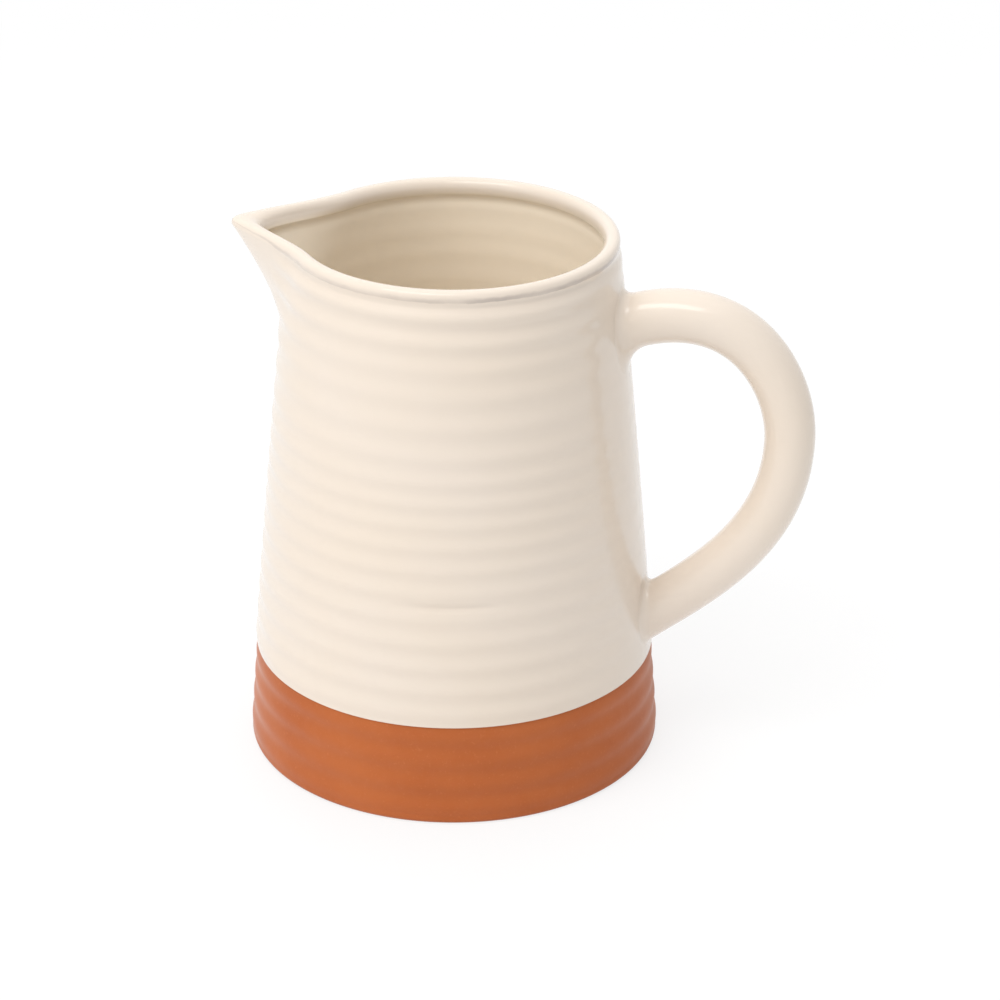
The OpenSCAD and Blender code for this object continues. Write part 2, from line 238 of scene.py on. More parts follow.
class JugRings(PropertyGroup):
    """Sizes of the throwing rings."""

    pitch: length("Pitch", "Height from one ring to the next", 7.83 * MM)
    depth: length("Depth", "Depth of the rings, from crest to valley", 0.43 * MM)
    bare_share: share("Bare depth", "Share by which the rings are deeper on the bare clay", 0.15)
    top_share: share("Top depth", "Share by which the rings are deeper under the rim", 1.4)
    top_h: length("Top height", "Height below the groove over which they deepen", 26 * MM)
    drop: length("First ring", "Drop from the bead to the underside of the first ring", 7.5 * MM)
    bunch_z: length("Bunch", "Height where the rings bunch", 115 * MM)
    bunch_w: length("Bunch width", "Half height of the bunch", 19 * MM)
    bunch_share: share("Bunch lag", "Rings that the bunch lags behind an even rise", 0.47)
    wander: length("Wander", "How far a ring strays up and down on its way round", 0.5 * MM)
    wander_h: length("Wander height", "Height over which the straying changes", 22 * MM)
    uneven_share: share("Unevenness", "How much the depth differs along a ring", 0.35)
    wiped_share: share("Wiping", "Share by which the rings are wiped away at the handle", 0.85)
    wiped_near: angle("Wiped near", "Turn from the handle within which they are wiped", 12)
    wiped_far: angle("Wiped far", "Turn from the handle past which they are whole", 38)
    inner_pitch: length("Inner pitch", "Height from one ring inside to the next", 8.6 * MM)
    inner_depth: length("Inner depth", "Depth of the rings inside", 0.2 * MM)
    mark_z: length("Mark height", "Height of the short mark that a tool left in a valley", 71.6 * MM)
    mark_turn: angle("Mark place", "Turn from the spout's middle to the middle of the mark", 101)
    mark_length: length("Mark length", "Length of the mark", 28 * MM)
    mark_w: length("Mark width", "Half height of the mark", 0.8 * MM)
    mark_depth: length("Mark depth", "Depth of the mark", 0.6 * MM)


class JugSpout(PropertyGroup):
    """Sizes of the drawn spout."""

    reach: length("Reach", "How far the lip stands out past the rim's circle", 17.16 * MM)
    drop: length("Depth", "From the middle of the bead to where the spout leaves the wall", 32 * MM)
    width: length("Width", "Width at the rim, along the rim's round", 59.6 * MM)
    low_width: length("Low width", "Width at the spout's foot, along the same round", 31.6 * MM)
    tip_r: length("Tip", "Rounding of the tip", 2.2 * MM)
    pinch: number("Pinch", "Power by which the draw falls away to the sides", 2.15)
    blend_share: share("Blend", "Share of the depth over which the spout swings out", 0.2)
    thick_share: share("Thickening", "Share by which the lip is thicker at the tip", 0.95)
    thick_power: number("Thickening power", "Power by which that thickening gathers at the tip", 3)


class JugHandle(PropertyGroup):
    """Sizes of the loop handle and the clay worked in round its ends."""

    top_z: length("Top", "Height where the handle leaves the wall at the top", 144.3 * MM)
    low_z: length("Bottom", "Height where the handle meets the wall at the bottom", 46 * MM)
    out: length("Out", "From the jug's axis to the middle of the handle at its widest", 105.09 * MM)
    out_z: length("Out height", "Height of that widest point", 110.9 * MM)
    top_angle: angle("Top rise", "Rise of the handle where it leaves the wall at the top", 22)
    low_angle: angle("Low rise", "Rise of the handle from the wall at the bottom", 38)
    top_pull: length("Top pull", "Pull of the top arm away from the wall", 40.2 * MM)
    over_pull: length("Over pull", "Pull of the bend above the widest point", 18 * MM)
    under_pull: length("Under pull", "Pull of the bend below the widest point", 33.5 * MM)
    low_pull: length("Low pull", "Pull of the lower arm away from the wall", 22.5 * MM)
    top_d: length("Top thickness", "Thickness of the clay rod at the top", 15.75 * MM)
    mid_d: length("Middle thickness", "Thickness of the clay rod at its widest point", 14.6 * MM)
    low_d: length("Low thickness", "Thickness of the clay rod at the bottom", 15 * MM)
    top_over: length("Top fillet, over", "Fillet over the top arm", 4 * MM)
    top_under: length("Top fillet, under", "Fillet under the top arm", 9 * MM)
    top_side: length("Top fillet, side", "Fillet beside the top arm", 4 * MM)
    low_over: length("Low fillet, over", "Fillet on the upper side of the lower arm", 4 * MM)
    low_under: length("Low fillet, under", "Fillet on the underside of the lower arm", 1.5 * MM)
    low_side: length("Low fillet, side", "Fillet beside the lower arm", 3.5 * MM)


class JugRimLine(PropertyGroup):
    """The line along the rim's shoulder where the glaze is thin, with painted shade of the groove under
    the bead, as angles up the bead's round.
    """

    low: angle("Lower edge", "Rise of its lower edge", -18)
    high: angle("Upper edge", "Rise of its upper edge", 13)
    spout_low: angle("Lower edge at spout", "Rise of its lower edge beside the spout", 17)
    spout_high: angle("Upper edge at spout", "Rise of its upper edge beside the spout", 31)
    wide_high: angle("Upper edge where wide", "Rise of its upper edge where the line is widest", 64)
    wide_turn: angle("Wide place", "Turn from the spout's middle to where the line is widest", -79)
    spout_start: share("Spout start", "Share of the spout's reach where it starts to rise", 0.05)
    spout_end: share("Spout end", "Share of the spout's reach where it has risen", 0.4)
    tip_share: share("Thinning", "Share by which it is thinner at the spout's tip", 0.75)
    soft_share: share("Softness", "Share of the line's width over which its upper edge fades", 0.3)
    crisp_share: share("Crispness", "Share of the line's width over which its lower edge fades", 0.1)
    stray_share: share("Straying", "Share of the line's width by which its edges stray", 0.35)
    faint_share: share("Faintness", "Share by which the line is fainter in places", 0.45)
    # The line is painted shade as well as thin glaze: it is weaker on the lit side, away from the handle
    lit_side_share: share("Faintness away", "Share by which it is fainter away from the handle", 0.5)
    faint_x: length("Faint place", "From the jug's axis towards the handle to where it is faint", 8 * MM)
    full_x: length("Full place", "From the jug's axis towards the handle to where it is whole", 24 * MM)


class JugFinish(PropertyGroup):
    """Colours of the glaze and the clay, with some painted light and painted shade."""

    cream: colour("Cream", "Colour of the glaze", 227, 214, 200)
    cream_warm: colour("Warm cream", "Colour of the glaze in its warmer clouds", 227, 213, 197)
    # A lighter copy of the cream, painted inside the jug as painted light
    lit_lining: colour("Lining", "Colour of the glaze inside", 250, 238, 219)
    # Pinkish grey of thin glaze, darkened to serve also as painted shade under the bead
    thin_glaze_and_shade: colour("Thin glaze", "Colour of the glaze where an edge thins it", 189, 176, 166)
    clay: colour("Clay", "Colour of the bare clay", 184, 101, 53)
    # Darker clay, used for the clay's darker clouds and for the painted shadow under the glaze's edge
    clay_cloud_and_shadow: colour("Dark clay", "Colour of the bare clay in its darker clouds", 176, 93, 46)
    clay_grain: colour("Clay grain", "Colour of the grains in the bare clay", 187, 105, 58)


class JugStage(PropertyGroup):
    """Floor and light."""

    floor: colour("Floor", "Colour of the floor", 244, 244, 244)
    key: power("Key", "Power of the large soft light on the left", 36)
    window: power("Window", "Power of the wide light that glints on the glaze", 17)
    top: power("Top", "Power of the large soft light overhead", 35)
    back: power("Back", "Power of the large soft light behind the jug", 28)
    sky: number("Sky", "Strength of the light from all round", 0.44)
    shadow_share: share("Shadow", "Share of the floor's shadow that the camera sees", 0.25)
    fade_start: length("Fade start", "Distance from the jug where the floor starts to fade", 0.25)
    fade_end: length("Fade end", "Distance from the jug where the floor is plain white", 0.8)


class Wall:
    """Radii of the thrown wall, its rings and its spout. Angles run round from the spout's middle."""

    def __init__(self, scene):
        self.body = scene.jug_wall
        self.rings = scene.jug_rings
        self.spout = scene.jug_spout
        self.line = scene.jug_line
        self.bead_z = self.body.jug_h - self.body.glaze_t - self.body.bead_d / 2
        self.lip_r = self.body.rim_r + self.body.bead_d / 2
        self.crest_z = self.bead_z + self.body.bead_d / 2
        self.groove_z = self.bead_z - self.body.groove_drop
        self.under_z = self.crest_z - 2 * self.body.bead_drop
        self.spout_z = self.bead_z - self.spout.drop
        self.cove_z = self.body.floor_t + self.body.cove_r

    def taper(self, z):
        """Outside of the clay, without the groove and the rings."""
        t = z / self.bead_z
        return self.body.foot_r + (self.lip_r - self.body.foot_r) * t + 4 * self.body.swell * t * (1 - t)

    def groove(self, z):
        """Depth of the groove under the bead."""
        return self.body.groove_depth * hump((z - self.groove_z) / self.body.groove_w)

    def clay_r(self, z):
        """Outside of the clay, without the rings."""
        return self.taper(z) - self.groove(z)

    def thickness(self, z):
        """Thickness of the clay wall."""
        return self.body.foot_t + (self.body.top_t - self.body.foot_t) * z / self.bead_z

    def undercut(self, z):
        """Depth of the undercut inside, below the bead."""
        return self.body.under_depth * hump((z - self.under_z) / self.body.under_w)

    def bore_r(self, z):
        """Inside of the clay, with the undercut."""
        return self.taper(z) - self.thickness(z) + self.undercut(z)

    def ring(self, turn, z):
        """How far the throwing rings stand out from the outside at a place."""
        rings = self.rings
        place = Vector((math.cos(turn), math.sin(turn), z / rings.wander_h))
        strayed = z + rings.wander * noise.noise(place)
        lag = rings.bunch_share * hump((strayed - rings.bunch_z) / rings.bunch_w)
        count = (self.bead_z - rings.drop - strayed) / rings.pitch - lag
        depth = rings.depth * (1 + rings.uneven_share * noise.noise(place.yzx))
        depth *= 1 + rings.top_share * smooth_step(self.groove_z - rings.top_h, self.groove_z, z)
        if z < self.body.bare_h:
            depth *= 1 + rings.bare_share
        else:
            from_handle = math.pi - abs(turn)
            depth *= 1 - rings.wiped_share * smooth_step(rings.wiped_far, rings.wiped_near, from_handle)
        fade = clamped((self.bead_z - z) / self.body.groove_drop)
        return -depth / 2 * fade * math.sin(math.tau * count) - self.mark(turn, strayed)

    def mark(self, turn, z):
        """Depth of the short mark that a tool left in one valley."""
        rings = self.rings
        along = (turn - rings.mark_turn) * self.body.foot_r / (rings.mark_length / 2)
        return rings.mark_depth * hump(along * along) * hump((z - rings.mark_z) / rings.mark_w)

    def inner_ring(self, turn, z):
        """How far the rings stand out from the inside at a place."""
        rings = self.rings
        place = Vector((math.sin(turn), math.cos(turn), z / rings.wander_h))
        strayed = z + INNER_STRAY * rings.wander * noise.noise(place)
        fade = clamped((z - self.cove_z) / rings.inner_pitch)
        fade *= clamped((self.under_z - z) / rings.inner_pitch)
        return rings.inner_depth / 2 * fade * math.sin(math.tau * strayed / rings.inner_pitch)

    def draw(self, turn, z):
        """Share of the spout's reach by which the wall is drawn out at a place."""
        spout = self.spout
        h = clamped((z - self.spout_z) / spout.drop)
        b = spout.blend_share
        rise = (h * h / (2 * b) if h < b else h - b / 2) / (1 - b / 2)
        half = (spout.low_width + (spout.width - spout.low_width) * h) / 2
        off = math.hypot(turn * self.lip_r, spout.tip_r) - spout.tip_r
        return rise * (1 - off / half) ** spout.pinch if off < half else 0

    def drawn_r(self, r, turn, z):
        """Where a point of the plain profile comes to lie, with its rings and the spout."""
        draw = self.draw(turn, z)
        mid = self.mid_r(z)
        smooth = clamped(draw / SMOOTH_SHARE)
        if r > mid:
            r += (1 - smooth) * self.ring(turn, z) + smooth * (self.smooth_r(r, z) - r)
        else:
            r += (1 - smooth) * self.inner_ring(turn, z) - smooth * self.undercut(z)
        thick = 1 + self.spout.thick_share * draw**self.spout.thick_power
        return mid + self.spout.reach * draw + (r - mid) * thick

    def smooth_r(self, r, z):
        """Where a point of the outside lies without the groove and the underside of the bead."""
        if z > self.bead_z:
            return r
        if z < self.groove_z + MERGE:
            return r + self.groove(z)
        return self.taper(z) + math.hypot(r - self.body.rim_r, z - self.bead_z) - self.body.bead_d / 2

    def mid_r(self, z):
        """Middle of the clay wall."""
        return self.taper(z) - self.thickness(z) / 2

    def glaze_r(self, turn, z):
        """Outside of the glaze, away from the spout."""
        return self.clay_r(z) + self.body.glaze_t + self.ring(turn, z)


class Rod:
    """The handle's rod: u runs along it from 0 at the top to 2 at the bottom, turn round it."""

    def __init__(self, scene, wall):
        handle = scene.jug_handle
        top = Vector((wall.clay_r(handle.top_z), handle.top_z))
        out = Vector((handle.out, handle.out_z))
        low = Vector((wall.clay_r(handle.low_z), handle.low_z))
        up = Vector((0, 1))
        self.arcs = (
            (top, top + handle.top_pull * heading(handle.top_angle), out + handle.over_pull * up, out),
            (out, out - handle.under_pull * up, low + handle.low_pull * heading(handle.low_angle), low),
        )
        self.speeds = (3 * handle.top_pull, -3 * handle.low_pull)
        self.radii = (handle.top_d / 2, handle.mid_d / 2, handle.low_d / 2)
        self.fillets = (
            (handle.top_over, handle.top_side, handle.top_under),
            (handle.low_under, handle.low_side, handle.low_over),
        )
        self.wall = wall
        self.coat = wall.body.glaze_t

    def at(self, u, turn, extra):
        """Point on the rod, at a turn from its outer side, on a rod that much fatter."""
        bend = 0 if u < 1 else 1
        t = u - bend
        p = self.arcs[bend]
        s = 1 - t
        middle = s**3 * p[0] + 3 * s * s * t * p[1] + 3 * s * t * t * p[2] + t**3 * p[3]
        way = (s * s * (p[1] - p[0]) + 2 * s * t * (p[2] - p[1]) + t * t * (p[3] - p[2])).normalized()
        r = self.radii[bend] + (self.radii[bend + 1] - self.radii[bend]) * clamped(t) + extra
        out = r * math.cos(turn)
        return Vector((middle.x - out * way.y, r * math.sin(turn), middle.y + out * way.x))

    def fillet(self, end, turn):
        """Size of the fillet at one end."""
        over, side, under = self.fillets[end]
        along = over if math.cos(turn) > 0 else under
        return side * math.sin(turn) ** 2 + along * math.cos(turn) ** 2

    def seat_u(self, end, turn, extra):
        """Where a line along the rod meets the outside of the wall's glaze."""
        near, far = (-SEAT_REACH, SEAT_REACH) if end == 0 else (2 + SEAT_REACH, 2 - SEAT_REACH)
        for _ in range(SEAT_TRIES):
            middle = (near + far) / 2
            p = self.at(middle, turn, extra)
            wall_r = self.wall.glaze_r(math.atan2(-p.y, -p.x), p.z)
            if math.hypot(p.x, p.y) > wall_r:
                far = middle
            else:
                near = middle
        return (near + far) / 2

    def seam(self, end, turn):
        """The fillet's edge on the wall, the corner that it fills and its edge on the rod."""
        size = self.fillet(end, turn)
        wide = self.coat + size
        edge = self.at(self.seat_u(end, turn, wide), turn, wide)
        edge.xy -= edge.xy.normalized() * SKIRT_SINK
        seat = self.seat_u(end, turn, self.coat)
        clear = seat + size / self.speeds[end]
        return edge, self.at(seat, turn, self.coat), clear

    def line(self, turn):
        """Points of the glazed rod from wall to wall, at one turn."""
        top_edge, top_corner, top_clear = self.seam(0, turn)
        low_edge, low_corner, low_clear = self.seam(1, turn)
        rod = [self.at(u, turn, self.coat) for u in spaced(top_clear, low_clear, ROD_STEPS)]
        top = [bent(top_edge, top_corner, rod[0], t) for t in spaced(0, 1, FILLET_STEPS)]
        low = [bent(rod[-1], low_corner, low_edge, t) for t in spaced(0, 1, FILLET_STEPS)]
        return top[:-1] + rod + low[1:]


def spaced(start, end, count):
    """Evenly spaced values from start to end, both included."""
    return [start + (end - start) * i / count for i in range(count + 1)]


def heading(slope):
    """Unit vector in the handle's plane."""
    return Vector((math.cos(slope), math.sin(slope)))


def bent(a, corner, b, t):
    """Point on the curve from a to b that leaves and arrives along the lines to the corner."""
    return (1 - t) ** 2 * a + 2 * (1 - t) * t * corner + t * t * b


def hump(x):
    """Bell curve: 1 in the middle, and near 0 from 2 on."""
    return math.exp(-x * x)


def clamped(x):
    """A value held between 0 and 1."""
    return min(1, max(0, x))


def smooth_step(low, high, x):
    """0 up to low, 1 from high on and an even swing between. Low may be the larger of the two."""
    t = clamped((x - low) / (high - low))
    return t * t * (3 - 2 * t)


def wall_line(wall, low, high, coat, steps):
    """Profile up the outside from one height to another."""
    count = round((high - low) / wall.rings.pitch * steps)
    return [(wall.clay_r(z) + coat, z) for z in spaced(low, high, count)]


def bead_line(wall, coat, steps):
    """Profile over the rim: round the bead's outer half and down its taller inner half."""
    body = wall.body
    half, drop = body.bead_d / 2 + coat, body.bead_drop + coat
    outer = [squared(a) for a in spaced(-OUTER_DIP, math.pi / 2, steps)]
    return [(body.rim_r + half * x, wall.bead_z + half * z) for x, z in outer] + [
        (body.rim_r + half * math.cos(a), wall.crest_z - body.bead_drop + drop * math.sin(a))
        for a in spaced(math.pi / 2, math.pi + INNER_DIP, steps)[1:]
    ]


def squared(a):
    """Point on a round of size 1, at an angle, that is squarer than a circle above its middle."""
    x, z = math.cos(a), math.sin(a)
    return (max(0, x) ** CREST_POWER, z**CREST_POWER) if z > 0 else (x, z)


def inside_line(wall, coat, steps):
    """Profile from under the bead down the inside and along the floor to the axis."""
    cove = wall.body.cove_r - coat
    middle = wall.bore_r(wall.cove_z) - wall.body.cove_r
    line = [(wall.bore_r(z) - coat, z) for z in spaced(wall.under_z, wall.cove_z, steps)]
    line += [
        (middle + cove * math.cos(a), wall.cove_z + cove * math.sin(a))
        for a in spaced(0, -math.pi / 2, COVE_STEPS)[1:]
    ]
    return line + [(middle * s, wall.body.floor_t + coat) for s in spaced(1, 0, EDGE_STEPS)[1:]]


def foot_line(wall):
    """Profile of the underside, from the axis to the standing ring and round its outer edge."""
    body = wall.body
    inside = body.foot_r - body.foot_ring_w
    edge = body.foot_r - body.foot_edge_r
    hollow = [
        (inside - HOLLOW_RUN * body.foot_hollow * (1 - s), body.foot_hollow * (1 - smooth_step(0, 1, s)))
        for s in spaced(0, 1, EDGE_STEPS)
    ]
    rounding = [
        (edge + body.foot_edge_r * math.cos(a), body.foot_edge_r + body.foot_edge_r * math.sin(a))
        for a in spaced(-math.pi / 2, 0, EDGE_STEPS)
    ]
    return [(0, body.foot_hollow)] + hollow + rounding


def turned(wall, profile):
    """Closed mesh of a profile that starts and ends on the axis, with the rings and the spout."""
    bm = bmesh.new()
    verts = [bm.verts.new((r, 0, z)) for r, z in profile]
    edges = [bm.edges.new(pair) for pair in zip(verts, verts[1:])]
    bmesh.ops.spin(
        bm,
        geom=verts + edges,
        cent=(0, 0, 0),
        axis=(0, 0, 1),
        angle=math.tau,
        steps=TURN_STEPS,
        use_merge=True,
    )
    bmesh.ops.remove_doubles(bm, verts=bm.verts, dist=MERGE)
    bmesh.ops.recalc_face_normals(bm, faces=bm.faces)
    across = bm.verts.layers.float.new(RIM_LINE)
    lit_lining = bm.verts.layers.float.new(LIT_LINING)
    for vert in bm.verts:
        r, z = vert.co.xy.length, vert.co.z
        if r > MERGE:
            column = math.atan2(-vert.co.y, -vert.co.x)
            turn = column - GATHER_SHARE * math.sin(column)
            vert[across] = across_line(wall, r, turn, z)
            # Painted light: the inside below the bead takes the lighter lining colour
            vert[lit_lining] = smooth_step(wall.bead_z, wall.under_z, z) if r < wall.mid_r(z) else 0
            r = wall.drawn_r(r, turn, z)
            vert.co = (-r * math.cos(turn), -r * math.sin(turn), z)
    return bm


def across_line(wall, r, turn, z):
    """How far across the rim's thin line a place of the plain profile lies."""
    if z < wall.groove_z:
        return PAST if r < wall.mid_r(z) else AWAY
    if r < wall.body.rim_r:
        return PAST
    line = wall.line
    draw = wall.draw(turn, z)
    beside = smooth_step(line.spout_start, line.spout_end, draw)
    wide = max(0, math.cos(turn - line.wide_turn)) ** 2
    low = line.low + (line.spout_low - line.low) * beside
    high = line.high + (line.spout_high - line.high) * beside
    high += (line.wide_high - high) * wide
    low += (high - low) * line.tip_share * smooth_step(line.spout_end, 1, draw)
    slope = math.atan2(z - wall.bead_z, r - wall.body.rim_r)
    across = LOWER_EDGE + (UPPER_EDGE - LOWER_EDGE) * (slope - low) / (high - low)
    return min(PAST, max(AWAY, across))


def closed(bm, name):
    """Raises an error where a mesh isn't a closed solid with its faces outwards."""
    if any(not edge.is_manifold for edge in bm.edges):
        raise RuntimeError(f"{name} has an open edge")
    if bm.calc_volume(signed=True) <= 0:
        raise RuntimeError(f"{name} is inside out")


def make_piece(name, bm, material, slot, *nodes):
    """Makes a piece of a mesh, which stands for some of the packed solids."""
    mesh = bpy.data.meshes.new(name)
    bm.to_mesh(mesh)
    bm.free()
    mesh.shade_smooth()
    mesh.materials.append(material)
    piece = bpy.data.objects.new(name, mesh)
    bpy.context.scene.collection.objects.link(piece)
    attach(piece, BODY)
    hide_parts(*nodes)
    return piece


class Nodes:
    """The nodes of one material, on the piece's own coordinates."""

    def __init__(self, name):
        self.material = bpy.data.materials.new(name)
        self.material.use_nodes = True
        self.tree = self.material.node_tree
        self.shader = self.tree.nodes["Principled BSDF"]
        self.place = self.tree.nodes.new("ShaderNodeTexCoord").outputs["Object"]

    def link(self, out, socket):
        """Links an output to an input of the shader, by name, or to any input."""
        self.tree.links.new(out, self.shader.inputs[socket] if isinstance(socket, str) else socket)

    def noise(self, size, detail=3):
        """Soft clouds of about that size, with finer ones in them down to that many halvings."""
        node = self.tree.nodes.new("ShaderNodeTexNoise")
        node.inputs["Scale"].default_value = 1 / size
        node.inputs["Detail"].default_value = detail
        self.link(self.place, node.inputs["Vector"])
        return node.outputs["Fac"]

    def between(self, value, low, high, to_low=0.0, to_high=1.0):
        """A value taken from one range to another."""
        node = self.tree.nodes.new("ShaderNodeMapRange")
        node.inputs["From Min"].default_value = low
        node.inputs["From Max"].default_value = high
        node.inputs["To Min"].default_value = to_low
        node.inputs["To Max"].default_value = to_high
        self.link(value, node.inputs["Value"])
        return node.outputs["Result"]

    def both(self, operation, a, b):
        """Two values, each an output, added or multiplied."""
        node = self.tree.nodes.new("ShaderNodeMath")
        node.operation = operation
        self.link(a, node.inputs[0])
        self.link(b, node.inputs[1])
        return node.outputs["Value"]

    def mix(self, factor, a, b):
        """Two colours, each a colour or an output, mixed by a factor."""
        node = self.tree.nodes.new("ShaderNodeMix")
        node.data_type = "RGBA"
        self.link(factor, node.inputs["Factor"])
        for socket, value in zip([s for s in node.inputs if s.type == "RGBA"], (a, b)):
            self.set_colour(socket, value)
        return [s for s in node.outputs if s.type == "RGBA"][0]

    def set_colour(self, socket, value):
        """Sets a colour socket to a colour, or links an output to it."""
        if isinstance(value, bpy.types.NodeSocket):
            self.link(value, socket)
        else:
            socket.default_value = (*value, 1)

    def attribute(self, name):
        """A vertex attribute of the piece."""
        node = self.tree.nodes.new("ShaderNodeAttribute")
        node.attribute_name = name
        return node.outputs["Fac"]

    def along(self, axis):
        """Place along one of the jug's axes."""
        node = self.tree.nodes.new("ShaderNodeSeparateXYZ")
        self.link(self.place, node.inputs["Vector"])
        return node.outputs[axis]

    def bump(self, value, depth, under=None):
        """Relief of that depth, over another relief."""
        node = self.tree.nodes.new("ShaderNodeBump")
        node.inputs["Distance"].default_value = depth
        self.link(value, node.inputs["Height"])
        if under:
            self.link(under, node.inputs["Normal"])
        return node.outputs["Normal"]


def rim_line(nodes, line):
    """How strongly the rim's thin line shows: its edges stray, it is fainter in places, and as painted
    shade it is fainter on the lit side away from the handle.
    """
    stray = nodes.between(nodes.noise(LINE_WAVE, 2), 0, 1, -line.stray_share, line.stray_share)
    across = nodes.both("ADD", nodes.attribute(RIM_LINE), stray)
    rise = nodes.between(across, LOWER_EDGE - line.crisp_share, LOWER_EDGE + line.crisp_share)
    fall = nodes.between(across, UPPER_EDGE + line.soft_share, UPPER_EDGE - line.soft_share)
    shown = nodes.between(nodes.noise(LINE_FAINT), *FAINT_RANGE, 1 - line.faint_share)
    # Painted shade: the line is stronger towards the handle, on the shaded side
    near = nodes.between(nodes.along("X"), line.faint_x, line.full_x, 1 - line.lit_side_share)
    strength = nodes.both("MULTIPLY", shown, near)
    return nodes.both("MULTIPLY", nodes.both("MULTIPLY", rise, fall), strength)


def glaze_material(finish, line):
    """Cream glaze with a satin gloss: soft clouds of a warmer cream, painted lighter inside as painted
    light, thin along the rim's edge with painted shade under the bead.
    """
    nodes = Nodes("cream glaze")
    clouds = nodes.between(nodes.noise(GLAZE_CLOUD), *CLOUD_RANGE)
    cream = nodes.mix(clouds, finish.cream, finish.cream_warm)
    # Painted light: the glaze inside is painted lighter than outside
    cream = nodes.mix(nodes.attribute(LIT_LINING), cream, finish.lit_lining)
    # Thin glaze along the rim, partly painted shade under the bead
    cream = nodes.mix(rim_line(nodes, line), cream, finish.thin_glaze_and_shade)
    nodes.link(cream, "Base Color")
    nodes.link(nodes.between(nodes.noise(GLAZE_GLOSS), *GLOSS_RANGE, *GLAZE_ROUGH), "Roughness")
    nodes.link(nodes.bump(nodes.noise(GLAZE_RIPPLE, 1), GLAZE_RIPPLE_DEPTH), "Normal")
    nodes.shader.inputs["Coat Weight"].default_value = COAT_WEIGHT
    nodes.shader.inputs["Coat Roughness"].default_value = COAT_ROUGH
    return nodes.material


def clay_material(finish, bare_h):
    """Matte red clay: cloudy, with a fine grain, and a painted shadow along the edge of the glaze."""
    nodes = Nodes("red clay")
    clouds = nodes.between(nodes.noise(CLAY_CLOUD, 4), *CLOUD_RANGE)
    clay = nodes.mix(clouds, finish.clay, finish.clay_cloud_and_shadow)
    grain = nodes.noise(CLAY_GRAIN, 2)
    clay = nodes.mix(nodes.between(grain, *GRAIN_RANGE), clay, finish.clay_grain)
    # Painted shadow: the clay darkens just under the edge of the glaze
    edge_shadow = nodes.between(nodes.along("Z"), bare_h - EDGE_SHADOW_H, bare_h, 0, EDGE_SHADOW_SHARE)
    clay = nodes.mix(edge_shadow, clay, finish.clay_cloud_and_shadow)
    nodes.link(clay, "Base Color")
    nodes.link(nodes.between(nodes.noise(CLAY_GLOSS), *GLOSS_RANGE, *CLAY_ROUGH), "Roughness")
    nodes.shader.inputs["Specular IOR Level"].default_value = CLAY_SPECULAR
    nodes.shader.inputs["Sheen Weight"].default_value = SHEEN_WEIGHT
    nodes.shader.inputs["Sheen Roughness"].default_value = SHEEN_ROUGH
    ripples = nodes.bump(nodes.noise(CLAY_RIPPLE, 2), CLAY_RIPPLE_DEPTH)
    nodes.link(nodes.bump(grain, CLAY_GRAIN_DEPTH, ripples), "Normal")
    return nodes.material


class JUG_OT_clay_body(Operator):
    """Turn the clay body with its drawn spout, and give the clay its finish"""

    bl_idname = "jug.clay_body"
    bl_label = "Clay Body"

    def execute(self, context):
        wall = Wall(context.scene)
        low, top = wall.body.foot_edge_r, wall.body.bare_h
        band = wall_line(wall, low, top, 0, RING_STEPS)[1:]
        covered = wall_line(wall, top, wall.groove_z, 0, HIDDEN_RING_STEPS)[1:]
        hidden = bead_line(wall, 0, HIDDEN_BEAD_STEPS) + inside_line(wall, 0, HIDDEN_WALL_STEPS)
        bm = turned(wall, foot_line(wall) + band + covered + hidden)
        closed(bm, self.bl_label)
        clay = clay_material(context.scene.jug_finish, wall.body.bare_h)
        make_piece("turned_clay_body", bm, clay, "red_clay", "clay_body", "spout")
        for name in ("handle", "upper_luting", "lower_luting"):
            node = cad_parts[name]
            node.data.materials.clear()
            node.data.materials.append(clay)
        return {"FINISHED"}


class JUG_OT_glaze_coat(Operator):
    """Coat the wall, the rim, the spout and the inside with glaze"""

    bl_idname = "jug.glaze_coat"
    bl_label = "Glaze Coat"

    def execute(self, context):
        wall = Wall(context.scene)
        coat, low = wall.body.glaze_t, wall.body.bare_h
        edge = [
            (wall.clay_r(low) + coat * math.cos(a), low + coat + coat * math.sin(a))
            for a in spaced(-math.pi / 2, 0, EDGE_STEPS)[:-1]
        ]
        skin = edge + wall_line(wall, low + coat, wall.groove_z, coat, RING_STEPS)
        skin += bead_line(wall, coat, BEAD_STEPS) + inside_line(wall, coat, WALL_STEPS)
        back = wall_line(wall, low, wall.groove_z, 0, HIDDEN_RING_STEPS)[1:]
        back += bead_line(wall, 0, HIDDEN_BEAD_STEPS) + inside_line(wall, 0, HIDDEN_WALL_STEPS)
        bm = turned(wall, skin[::-1] + back)
        closed(bm, self.bl_label)
        glaze = glaze_material(context.scene.jug_finish, wall.line)
        nodes = ("outer_glaze", "spout_glaze", "lining_glaze")
        make_piece("glaze_coat", bm, glaze, "cream_glaze", *nodes)
        return {"FINISHED"}


